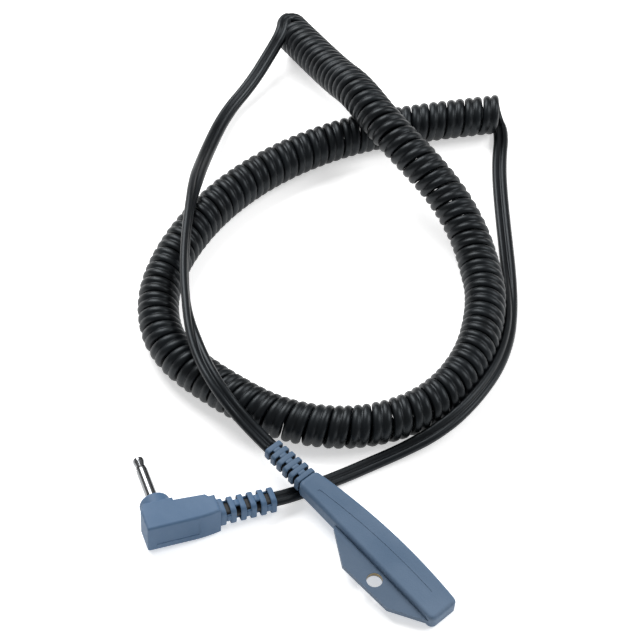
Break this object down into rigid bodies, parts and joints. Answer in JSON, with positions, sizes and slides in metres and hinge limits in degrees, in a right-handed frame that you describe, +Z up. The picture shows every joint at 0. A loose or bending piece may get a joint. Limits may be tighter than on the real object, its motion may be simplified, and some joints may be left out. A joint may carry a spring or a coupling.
{
  "type": "wrist strap ground cord",
  "caption": "Curly twin ground cord for an anti-static wrist strap, with a moulded wrist-end fitting with a stud hole at one end and a right-angle plug at the other.",
  "frame": {"origin": "under the middle of the wrist-end fitting, on the surface that the cord lies on", "axes": "+X along the wrist-end fitting, from its cord entry to its square end; +Z up from the surface; the thin web with the stud hole is on the -Y side"},
  "size_m": [0.2142, 0.2033, 0.0285],
  "materials": {
    "moulding": "blue-grey flexible moulding, matt",
    "relief": "blue-grey flexible moulding, matt",
    "cord_jacket": "black flexible jacket, satin gloss",
    "nickel": "bright nickel plate",
    "black_insulator": "black insulating ring",
    "liner": "natural insulating liner",
    "carrier": "natural inner moulding",
    "copper": "tinned copper strand",
    "contact": "plated spring brass",
    "tag": "tinned brass tag",
    "wire": "tinned wire",
    "solder": "solder",
    "resistor_film": "lacquered film resistor",
    "end_cap": "pressed end cap",
    "crimp": "tinned crimp"
  },
  "bodies": {
    "root": {"wrist_overmould": "moulding", "wrist_strain_relief": "relief", "wrist_carrier": "carrier", "wrist_jacket_end": "cord_jacket", "wrist_core_a": "copper", "wrist_core_b": "copper", "crimp_a": "crimp", "crimp_b": "crimp", "resistor_a": "resistor_film", "resistor_b": "resistor_film", "resistor_a_caps": "end_cap", "resistor_b_caps": "end_cap", "resistor_a_leads": "wire", "resistor_b_leads": "wire", "contact_lower": "contact", "contact_upper": "contact", "contact_spacer": "black_insulator", "plug_overmould": "moulding", "plug_strain_relief": "relief", "plug_carrier": "carrier", "plug_jacket_end": "cord_jacket", "plug_core_a": "copper", "plug_core_b": "copper", "plug_sleeve": "nickel", "plug_tip": "nickel", "tip_insulator": "black_insulator", "core_insulator": "liner", "sleeve_tag": "tag", "tip_tag": "tag", "solder_joints": "solder", "wrist_tail": "cord_jacket", "coil": "cord_jacket", "plug_tail": "cord_jacket"}
  },
  "joints": []
}
